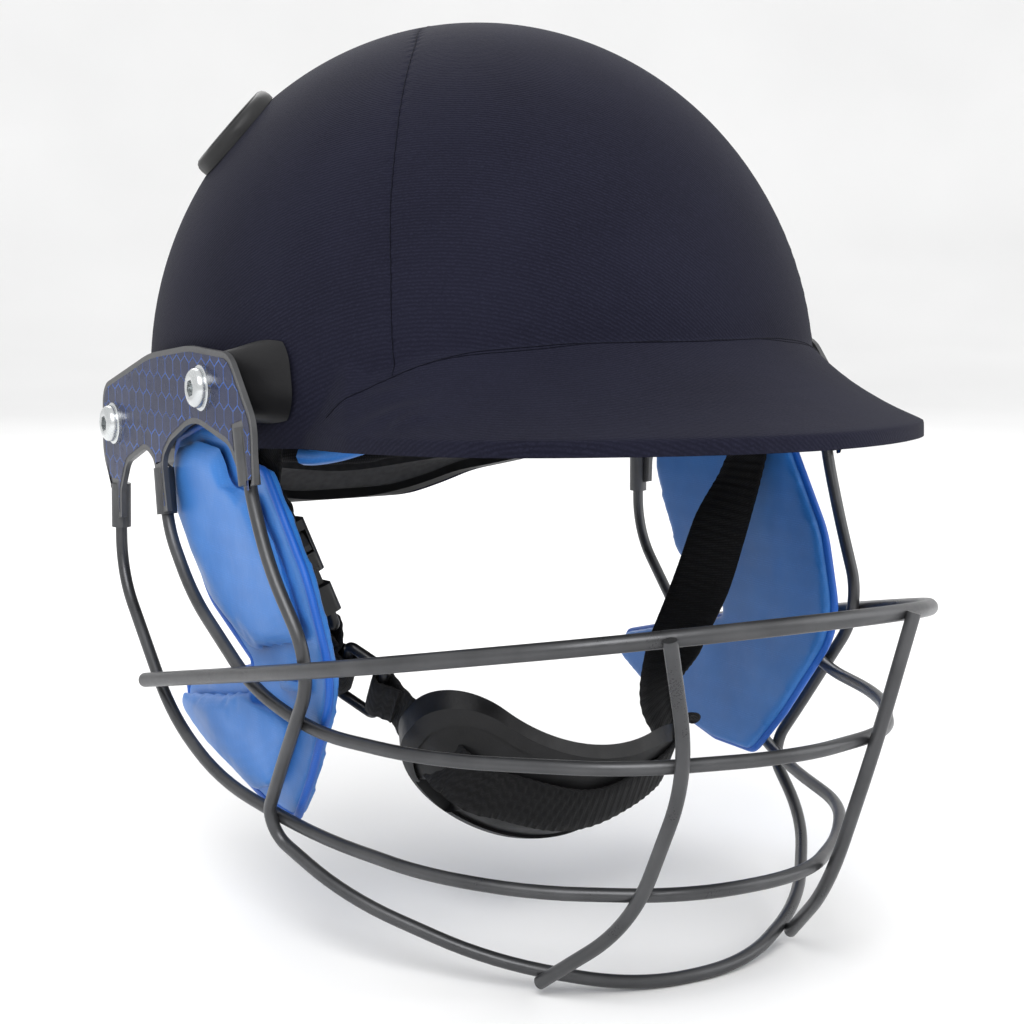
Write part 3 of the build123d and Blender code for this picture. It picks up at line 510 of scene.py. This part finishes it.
def both_sides(points, middle):
    """A line over the helmet, from the right side across its middle to the left."""
    right = [mirrored(p, -1) * MM for p in points]
    left = [mirrored(p, 1) * MM for p in points]
    return right[::-1] + [Vector(middle) * MM] + left


SEAM_LINES = {
    "crown_seam": curve_points(both_sides(CROWN_SEAM, CROWN_MIDDLE), LINE_STEP),
    "peak_seam": curve_points(both_sides(PEAK_SEAM, PEAK_MIDDLE), LINE_STEP)}


def ray_hits(bvh, turn, rise):
    """Where a ray from the origin meets the surface, as (distance, place) in order."""
    way = Vector((
        math.cos(rise) * math.sin(turn), math.cos(rise) * math.cos(turn), math.sin(rise)))
    found = []
    start = Vector((0, 0, 0))
    gone = 0.0
    while True:
        place, _, _, far = bvh.ray_cast(start, way, RAY_REACH)
        if place is None:
            return found
        gone += far
        found.append((gone, place))
        start = place + way * RAY_NUDGE
        gone += RAY_NUDGE


def lower_edge(bvh, turn):
    """The lowest angle at which a ray meets the cover."""
    low = EDGE_START
    while not ray_hits(bvh, turn, low):
        low += EDGE_STEP
    below = low - EDGE_STEP
    for _ in range(EDGE_HALVINGS):
        middle = (low + below) / 2
        if ray_hits(bvh, turn, middle):
            low = middle
        else:
            below = middle
    return low


def hem_places(bvh, turn, low):
    """Places on the inner face, from the lower edge up to where the hem ends."""
    inner = []
    length = 0.0
    rise = low
    last = ray_hits(bvh, turn, low)[0][1]
    while rise < HEM_TOP:
        found = ray_hits(bvh, turn, rise)
        if not found:
            break
        wall = found[-1][0] - found[0][0]
        place = found[0][1]
        length += (place - last).length
        if (length > HEM_LEAST and wall < HEM_WALL) or length > HEM_MOST:
            break
        inner.append(place)
        last = place
        rise += HEM_STEP
    return [inner[int(k)] for k in np.linspace(0, len(inner) - 1, HEM_ROWS)]


def cover_columns():
    """Columns of places on the cover, from the turned-in hem over the edge to the crown."""
    bvh = bvh_of(nodes["cloth_cover"].data)
    columns, rows = COVER_GRID
    made = []
    for c in range(columns):
        turn = 2 * math.pi * c / columns
        low = lower_edge(bvh, turn)
        outer = []
        for r in range(rows):
            share = (r / rows) ** CROWDING
            found = ray_hits(bvh, turn, low + (math.pi / 2 - low) * share)
            outer.append(found[-1][1] if found else None)
        made.append(hem_places(bvh, turn, low)[::-1] + outer)
    return made


def cover_bmesh():
    """The cover's smooth surface, closed over the crown, with its normals outward."""
    bm = bmesh.new()
    columns = [
        [bm.verts.new(p) if p is not None else None for p in column]
        for column in cover_columns()]
    top = bm.verts.new(sum((c[-1].co for c in columns), Vector()) / len(columns))
    for a, b in zip(columns, columns[1:] + columns[:1]):
        for r in range(len(a) - 1):
            quad = (a[r], b[r], b[r + 1], a[r + 1])
            if None not in quad:
                bm.faces.new(quad)
        bm.faces.new((a[-1], b[-1], top))
    inside = [v for v in bm.verts if len(v.link_edges) >= 4]
    relax(bm, inside, factor=0.25, times=2)
    bmesh.ops.recalc_face_normals(bm, faces=bm.faces)
    bm.normal_update()
    if top.normal.z < 0:
        bmesh.ops.reverse_faces(bm, faces=bm.faces)
        bm.normal_update()
    return bm


def cover_relief(places):
    """How far each place moves outward: in along the seams, out along the folds."""
    move = np.zeros(len(places))
    for line in SEAM_LINES.values():
        gaps = np.linalg.norm(places[:, None] - as_array(line)[None, ::3], axis=2)
        far = np.min(gaps, axis=1)
        move -= SEAM_DEPTH * np.exp(-(far / SEAM_REACH) ** 2)
    for points in WRINKLES:
        line = as_array(curve_points([Vector(p) * MM for p in points], LINE_STEP))
        gaps = np.linalg.norm(places[:, None] - line[None], axis=2)
        far = np.min(gaps, axis=1)
        share = np.argmin(gaps, axis=1) / len(line)
        fade = np.sin(np.pi * np.clip(share, 0, 1))
        move += FOLD_HEIGHT * np.exp(-(far / FOLD_REACH) ** 2) * fade
    return move


def build_cover():
    bm = cover_bmesh()
    places = as_array([v.co for v in bm.verts])
    for v, out, place in zip(bm.verts, cover_relief(places), places):
        if out:
            v.co = Vector(place) + v.normal * out
    mesh = mesh_of(bm, "cover_cloth")
    mesh.shade_smooth()
    cover = piece("cover_cloth", mesh, NAVY, "helmet", "navy_twill", "cloth_cover")
    bvh = bvh_of(mesh)
    for name, line in SEAM_LINES.items():
        for _ in range(SEAM_PASSES):
            line = [bvh.find_nearest(place)[0] for place in line]
            middle = [(a + b + c) / 3 for a, b, c in zip(line, line[1:], line[2:])]
            line = [line[0], *middle, line[-1]]
        snapped = [bvh.find_nearest(place)[0] for place in line]
        tube(name, snapped, SEAM_RADIUS, SEAM, "navy_twill")


build_cover()


# Padded pieces
SIM_FRAMES = 20
SIM_PRESSURE = 4.0
SIM_QUALITY = 4
# Least cosine between a face's normal and the way it has to look
FACING = 0.98


def blow_up(obj, cap):
    """Runs the cloth simulation on a closed piece and keeps its result up to the cap."""
    start = as_array([v.co for v in obj.data.vertices])
    cloth = obj.modifiers.new("Cloth", "CLOTH")
    cloth.settings.use_pressure = True
    cloth.settings.uniform_pressure_force = SIM_PRESSURE
    cloth.settings.effector_weights.gravity = 0
    cloth.settings.quality = SIM_QUALITY
    cloth.point_cache.frame_start = 1
    cloth.point_cache.frame_end = SIM_FRAMES
    for number in range(1, SIM_FRAMES + 1):
        bpy.context.scene.frame_set(number)
    after = obj.evaluated_get(bpy.context.evaluated_depsgraph_get()).to_mesh()
    moved = as_array([v.co for v in after.vertices]) - start
    obj.modifiers.remove(cloth)
    bpy.context.scene.frame_set(1)
    far = np.linalg.norm(moved, axis=1, keepdims=True)
    moved *= np.minimum(1.0, cap / np.maximum(far, 1e-9))
    for v, place in zip(obj.data.vertices, start + moved):
        v.co = place


def soft_piece(name, node, mat, slot, voxel, shrink=0.001, cap=0.0016, sim=True):
    """A padded piece made from its solid: remeshed, smoothed, shrunk and blown up."""
    bm = welded(nodes[node].data)
    obj = piece(name, mesh_of(bm, name), mat, "helmet", slot, node)
    remesh = obj.modifiers.new("Remesh", "REMESH")
    remesh.mode = "VOXEL"
    remesh.voxel_size = voxel
    made = bpy.data.meshes.new_from_object(
        obj.evaluated_get(bpy.context.evaluated_depsgraph_get()))
    obj.modifiers.remove(remesh)
    obj.data = made
    paint(obj, mat)
    bm = bmesh.new()
    bm.from_mesh(made)
    relax(bm, bm.verts, factor=0.5, times=3)
    bm.normal_update()
    for v in bm.verts:
        v.co -= v.normal * shrink
    bm.to_mesh(made)
    bm.free()
    if sim:
        blow_up(obj, cap)
    else:
        for v in made.vertices:
            v.co += v.normal * min(shrink, cap)
    made.shade_smooth()
    subdivision = obj.modifiers.new("Subdivision", "SUBSURF")
    subdivision.levels = subdivision.render_levels = 1


def flat_faces(node, outward, level=None, reach=0.0004):
    """A bmesh of the node and its faces that look outward, at a level or outermost."""
    bm = welded(nodes[node].data)
    bm.normal_update()
    outward = Vector(outward).normalized()
    if level is None:
        level = max(v.co.dot(outward) for v in bm.verts)
    faces = [
        f for f in bm.faces
        if f.normal.dot(outward) > FACING
        and all(abs(v.co.dot(outward) - level) < reach for v in f.verts)]
    return bm, faces


def outline_of(faces):
    """The longest boundary loop of those faces, or an empty list without faces."""
    inside = set(faces)
    links = {}
    for face in faces:
        for edge in face.edges:
            if sum(f in inside for f in edge.link_faces) == 1:
                a, b = edge.verts
                links.setdefault(a, []).append(b)
                links.setdefault(b, []).append(a)
    loops = []
    unused = dict(links)
    while unused:
        vert = next(iter(unused))
        loop = []
        while vert is not None:
            del unused[vert]
            loop.append(vert.co.copy())
            vert = next((v for v in links[vert] if v in unused), None)
        loops.append(loop)
    return max(loops, key=lambda line: lengths_along(line)[-1], default=[])


# How far the cheek pads' outer faces lean
LEAN = math.radians(5.5)
EDGE_RADIUS = 0.0014
EDGE_INSET = 0.0012
for side, hand in SIDES:
    out = Vector((hand * math.cos(LEAN), 0, -math.sin(LEAN)))
    backing = f"cheek_backing_{side}"
    bm, faces = flat_faces(backing, out)
    edge_line = [p - out * EDGE_INSET for p in outline_of(faces)]
    bm.free()
    soft_piece(
        f"backing_pad_{side}", backing, BLUE, "pad_blue", voxel=0.0014,
        shrink=0.0001, cap=0.0002, sim=False)
    if edge_line:
        tube(f"backing_edge_{side}", edge_line, EDGE_RADIUS, EDGE_BLUE, "pad_blue", cyclic=True)
    for part in ("upper", "middle", "lower"):
        soft_piece(
            f"{part}_lobe_pad_{side}", f"cheek_{part}_lobe_{side}", BLUE, "pad_blue",
            voxel=0.0022, shrink=0.0014, cap=0.0026)
    soft_piece(
        f"temple_cushion_{side}", f"temple_pad_{side}", BLUE, "pad_blue", voxel=0.003)
soft_piece("brow_cushion", "brow_pad", BLUE, "pad_blue", voxel=0.003)
soft_piece("crown_cushion", "crown_pad", LINING, "nape_black", voxel=0.003)
soft_piece("rear_cushion", "rear_pad", LINING, "nape_black", voxel=0.003)
soft_piece("nape_cushion", "nape_lining", LINING, "nape_black", voxel=0.003)


# Straps: sizes of the webbing in metres, all stations and loops in millimetres
STRAP_WIDTH = 0.020
STRAP_THICK = 0.0017
STRAP_STEP = 0.0006
RIB = 0.003
# Share of the thickness left between two ribs
RIB_LOW = 0.62
# Least squared share of the width at the tip of a rounded end
TIP_SQUARED = 0.02
# Corners of the section, as shares of half the width and half the thickness
SECTION = (
    (-1, -0.35), (-0.97, -0.85), (-0.5, -1), (0, -1), (0.5, -1), (0.97, -0.85), (1, -0.35),
    (1, 0.35), (0.97, 0.85), (0.5, 1), (0, 1), (-0.5, 1), (-0.97, 0.85), (-1, 0.35))
# Radius of a loop round a bar, and how far its two runs lie beside the bar's middle
BAR_REACH = 2.95
RUN_IN = 0.9
RUN_OUT = 1.1


def strap(name, stations, *stands_for, width=STRAP_WIDTH, round_end=False):
    """A ribbed flat strap along stations of (place, across)."""
    knots = [Vector(p) * MM for p, _ in stations]
    acrosses = [Vector(w).normalized() for _, w in stations]
    reach = lengths_along(knots)
    places = curve_points(knots, STRAP_STEP)
    gone = lengths_along(places)
    bm = bmesh.new()
    rings = []
    for i, place in enumerate(places):
        ahead = (places[min(i + 1, len(places) - 1)] - places[max(i - 1, 0)]).normalized()
        share = gone[i] / gone[-1] * reach[-1]
        k = max(0, min(len(reach) - 2, int(np.searchsorted(reach, share)) - 1))
        t = (share - reach[k]) / max(reach[k + 1] - reach[k], 1e-9)
        across = acrosses[k].lerp(acrosses[k + 1], min(max(t, 0), 1))
        across = (across - ahead * across.dot(ahead)).normalized()
        face = ahead.cross(across)
        wide = width / 2
        left = gone[-1] - gone[i]
        if round_end and left < wide:
            wide *= math.sqrt(max(TIP_SQUARED, 1 - (1 - left / wide) ** 2))
        wave = 0.5 + 0.5 * math.cos(2 * math.pi * gone[i] / RIB)
        half = STRAP_THICK / 2 * (RIB_LOW + (1 - RIB_LOW) * wave)
        rings.append([
            bm.verts.new(place + across * u * wide + face * v * half) for u, v in SECTION])
    skin(bm, rings, capped=True)
    mesh = mesh_of(bm, name)
    smooth(mesh, angle=50)
    piece(name, mesh, WEB, "chin_strap", "webbing_black", *stands_for)


def round_bar(bar, toward, across, lead, tail):
    """Stations from a strap down to a bar, round it and back up beside the strap."""
    bar = Vector(bar)
    across = Vector(across).normalized()
    toward = Vector(toward).normalized()
    toward = (toward - across * toward.dot(across)).normalized()
    beside = across.cross(toward)
    places = [bar + toward * lead + beside * RUN_IN]
    for angle in (0, -45, -90, -135, -180, -225):
        turn = math.radians(angle)
        where = beside * math.cos(turn) + toward * math.sin(turn)
        places.append(bar + where * BAR_REACH)
    for far in (lead, tail):
        places.append(bar + toward * far - beside * RUN_OUT)
    return [(place, across) for place in places]


FORWARD = (0, -1, 0.06)
SOCKET_BAR = (-87.48, -3.49, 7.37)
PRONG_BAR = (-72.64, -5.74, -29.28)
RING_ACROSS = (-0.2, -0.73, 0.65)
RING_TOP = (-66.11, -9.71, -44.39)
RING_LOW = (-57.89, -18.06, -51.31)
near = round_bar(SOCKET_BAR, (-0.25, -0.3, 0.93), FORWARD, lead=7, tail=10)[::-1]
near += [((-90.7, -9.4, 22.5), FORWARD), ((-90.5, -9, 32), FORWARD), ((-90.5, -8.4, 42), FORWARD)]
strap("near_strap", near, "near_tab", round_end=True)

short = round_bar(PRONG_BAR, (0.37, -0.06, -0.93), FORWARD, lead=6, tail=7)[::-1]
short += round_bar(RING_TOP, (-0.6, 0.61, 0.51), RING_ACROSS, lead=6, tail=7)
strap("short_strap", short, "adjuster_webbing")

BAND = (0.13, -0.61, 0.78)
BAND_FAR = (-0.13, -0.61, 0.78)
CHIN = [
    ((-50, -26.72, -61.09), (0.1, -0.85, 0.52)), ((-46.2, -36.5, -69.0), (0.3, -0.80, 0.50)),
    ((-44.4, -42.9, -73.2), BAND), ((-37.5, -46.4, -78.9), BAND), ((-29.8, -49.7, -81.3), BAND),
    ((-20.6, -51.4, -84.6), BAND), ((-10.8, -51.9, -87.5), (0.06, -0.61, 0.79)),
    ((-2.5, -52.0, -88.4), (0, -0.61, 0.79)), ((5.8, -51.9, -87.5), (-0.06, -0.61, 0.79)),
    ((15.6, -51.4, -84.6), BAND_FAR), ((24.8, -49.7, -81.3), BAND_FAR),
    ((32.0, -46.3, -78.0), BAND_FAR), ((37.6, -38.5, -72.8), (-0.3, -0.80, 0.45)),
    ((40, -28.71, -60.97), (0.11, -0.87, 0.48)), ((51, -20.87, -47.42), (0.62, -0.77, 0.15)),
    ((67, -13.66, -27.83), (0.76, -0.65, 0.04)), ((77, -11.38, -6.93), (0.6, -0.8, 0.05)),
    ((85, -10.47, 8.04), (0.2, -0.98, 0.06)), ((90.3, -9.63, 21.72), FORWARD),
    ((90.4, -9, 32), FORWARD), ((90.4, -8.4, 42), FORWARD)]
low_loop = round_bar(RING_LOW, (0.60, -0.61, -0.51), RING_ACROSS, lead=6, tail=7)[::-1]
strap("chin_strap_web", low_loop + CHIN, "chin_webbing", round_end=True)
strap("strap_tail", [
    ((38.6, -36.2, -70.5), (-0.39, -0.87, 0.29)), ((41.5, -37.0, -67.5), (-0.30, -0.90, 0.30)),
    ((45.0, -37.6, -66.6), (-0.15, -0.95, 0.30)), ((48.0, -37.8, -69.0), (0.0, -0.95, 0.30))],
    width=0.016, round_end=True)


# Printed sheets on the side plates
PLATE_FACE = 0.1078
PRINT_MARGIN = 0.0018
PRINT_THICK = 0.00012
for side, hand in SIDES:
    bm, faces = flat_faces(f"side_plate_{side}", (hand, 0, 0), PLATE_FACE, 0.0002)
    keep = set(faces)
    bmesh.ops.delete(bm, geom=[f for f in bm.faces if f not in keep], context="FACES")
    margin = bmesh.ops.inset_region(
        bm, faces=list(bm.faces), thickness=PRINT_MARGIN, use_boundary=True, use_even_offset=True)
    bmesh.ops.delete(bm, geom=margin["faces"], context="FACES")
    bmesh.ops.translate(bm, verts=bm.verts, vec=(hand * PRINT_THICK, 0, 0))
    mesh = mesh_of(bm, f"plate_print_{side}")
    piece(f"plate_print_{side}", mesh, DECAL, "helmet", "plate_steel")


# Bolts and vent rings, turned from profiles of (radius, height) in millimetres
AROUND = 64
HEAD = [
    (7.0, 0.0), (7.0, 1.0), (6.7, 1.25), (6.1, 1.3), (6.1, 2.2), (5.8, 3.2), (5.1, 3.9), (4.2, 4.2),
    (3.3, 4.25), (2.5, 4.1), (2.5, 1.8)]
HEAD_FOOT = 107.82
HEAD_HEXAGON = 2.4
SHANK = [(3.0, -23.0), (3.0, 0.0), (0.1, 0.0)]
SHANK_TOP = 107.7
SHANK_HEXAGON = 2.9
BOLTS = (("front", -0.4, 45.0), ("rear", 83.6, 27.9))
RING = [
    (17.0, -1.0), (17.1, 0.6), (16.9, 2.0), (16.2, 3.2), (15.2, 3.8), (14.1, 3.6), (13.3, 2.6),
    (12.9, 0.8), (12.5, -3.0), (12.2, -9.0), (11.6, -9.0), (11.6, -2.0), (12.0, -0.6)]
RING_PLACE = (71.25, 59.99, 124.49)
RING_AXIS = (0.7225, 0.2134, 0.6577)


def turned(name, profile, centre, axis, mat, slot, node, hexagon=None):
    """A turned piece. Where its last two rings are a hexagon, both ends are closed."""
    axis = Vector(axis).normalized()
    side = axis.orthogonal().normalized()
    other = axis.cross(side)
    bm = bmesh.new()
    rings = []
    for k, (radius, height) in enumerate(profile):
        ring = []
        for n in range(AROUND):
            turn = 2 * math.pi * n / AROUND
            reach = radius
            if hexagon and k >= len(profile) - 2:
                reach = hexagon / math.cos(turn % (math.pi / 3) - math.pi / 6)
            where = side * (math.cos(turn) * reach) + other * (math.sin(turn) * reach)
            ring.append(bm.verts.new(Vector(centre) * MM + (where + axis * height) * MM))
        rings.append(ring)
    skin(bm, rings, capped=hexagon is not None)
    mesh = mesh_of(bm, name)
    smooth(mesh, angle=32)
    piece(name, mesh, mat, "helmet", slot, node)


# Edge of the blue lining under the shell, in millimetres
ROLL = ((86.0, -26, 25.5), (84.5, -32, 26), (81.0, -42, 28), (75.5, -52, 31.5), (66, -63, 36.5))
ROLL_STEP = 0.002
ROLL_RADIUS = 0.0028

for side, hand in SIDES:
    for place, y, z in BOLTS:
        turned(
            f"{place}_bolt_head_{side}", HEAD, (hand * HEAD_FOOT, y, z), (hand, 0, 0), BOLT,
            "bolt_steel", f"mount_bolts_{side}", HEAD_HEXAGON)
        turned(
            f"{place}_bolt_shank_{side}", SHANK, (hand * SHANK_TOP, y, z), (hand, 0, 0), BOLT,
            "bolt_steel", f"mount_bolts_{side}", SHANK_HEXAGON)
    turned(
        f"vent_ring_{side}", RING, mirrored(RING_PLACE, hand), mirrored(RING_AXIS, hand), VENT,
        "vent_rubber", f"vent_grommet_{side}")
    roll = curve_points([mirrored(p, hand) * MM for p in ROLL], ROLL_STEP)
    tube(f"lining_roll_{side}", roll, ROLL_RADIUS, BLUE, "pad_blue")


# Finishes of the hard pieces
HARD = {
    "outer_shell": SHELL, "impact_liner": FOAM, "eye_bar": STEEL, "middle_rail": STEEL,
    "lower_rail": STEEL, "side_and_chin_rod": STEEL, "buckle_socket": BUCKLE,
    "buckle_prongs": BUCKLE, "squeeze_arm_front": BUCKLE, "squeeze_arm_back": BUCKLE,
    "adjuster_ring": BUCKLE, "chin_cup": CUP}
for side, _ in SIDES:
    HARD.update({
        f"side_plate_{side}": PLATE, f"front_spacer_{side}": SPACER,
        f"rear_spacer_{side}": SPACER, f"inner_nuts_{side}": NUT,
        f"upright_{side}": STEEL, f"strap_rivet_{side}": BOLT})
for node, mat in HARD.items():
    paint(nodes[node], mat)


# Floor and light
FLOOR_RIM = [(0.5, 0), (1.5, 0), (2.2, 0), (2.6, 0.06), (2.9, 0.22), (3.05, 0.5), (3.1, 1.1)]
FLOOR_AROUND = 96
FLOOR_DARK = (0.86, 0.86, 0.86)
FLOOR_LIGHT = (0.90, 0.90, 0.90)
WORLD_STRENGTH = 0.95
# Name, place, size and power of each lamp
LAMPS = (
    ("key", (-0.7, -0.9, 1.1), 0.9, 16), ("fill", (1.1, -0.7, 0.6), 1.1, 7),
    ("back", (0.3, 1.1, 0.9), 0.9, 8))


def floor_mesh():
    """A wide shallow bowl whose flat middle lies at the helmet's lowest point."""
    low = min(corner[2] for corner in cad_box)
    places = []
    for reach, rise in FLOOR_RIM:
        for k in range(FLOOR_AROUND):
            turn = 2 * math.pi * k / FLOOR_AROUND
            places.append((reach * math.sin(turn), reach * math.cos(turn), low + rise))
    faces = []
    for r in range(len(FLOOR_RIM) - 1):
        inner = r * FLOOR_AROUND
        outer = inner + FLOOR_AROUND
        for k in range(FLOOR_AROUND):
            j = (k + 1) % FLOOR_AROUND
            faces.append((inner + k, inner + j, outer + j, outer + k))
    faces.append(tuple(range(FLOOR_AROUND))[::-1])
    mesh = bpy.data.meshes.new("floor")
    mesh.from_pydata(places, [], faces)
    mesh.shade_smooth()
    return mesh


def studio():
    floor = add_object("floor", floor_mesh())
    s = Shader("floor_mat", rough=0.9, specular=0.1)
    s.colour(s.mix(s.ramp(s.noise(3, 2), 0.0, 1.0), FLOOR_DARK, FLOOR_LIGHT))
    paint(floor, s.mat)
    world = bpy.data.worlds.new("studio")
    world.use_nodes = True
    background = world.node_tree.nodes["Background"]
    background.inputs["Color"].default_value = (1, 1, 1, 1)
    background.inputs["Strength"].default_value = WORLD_STRENGTH
    bpy.context.scene.world = world
    for name, place, size, power in LAMPS:
        data = bpy.data.lights.new(name, "AREA")
        data.size = size
        data.energy = power
        lamp = add_object(name, data)
        turn = Vector(place).normalized().to_track_quat("Z", "Y")
        lamp.matrix_world = Matrix.Translation(place) @ turn.to_matrix().to_4x4()


studio()
bpy.context.scene.view_settings.view_transform = "Standard"
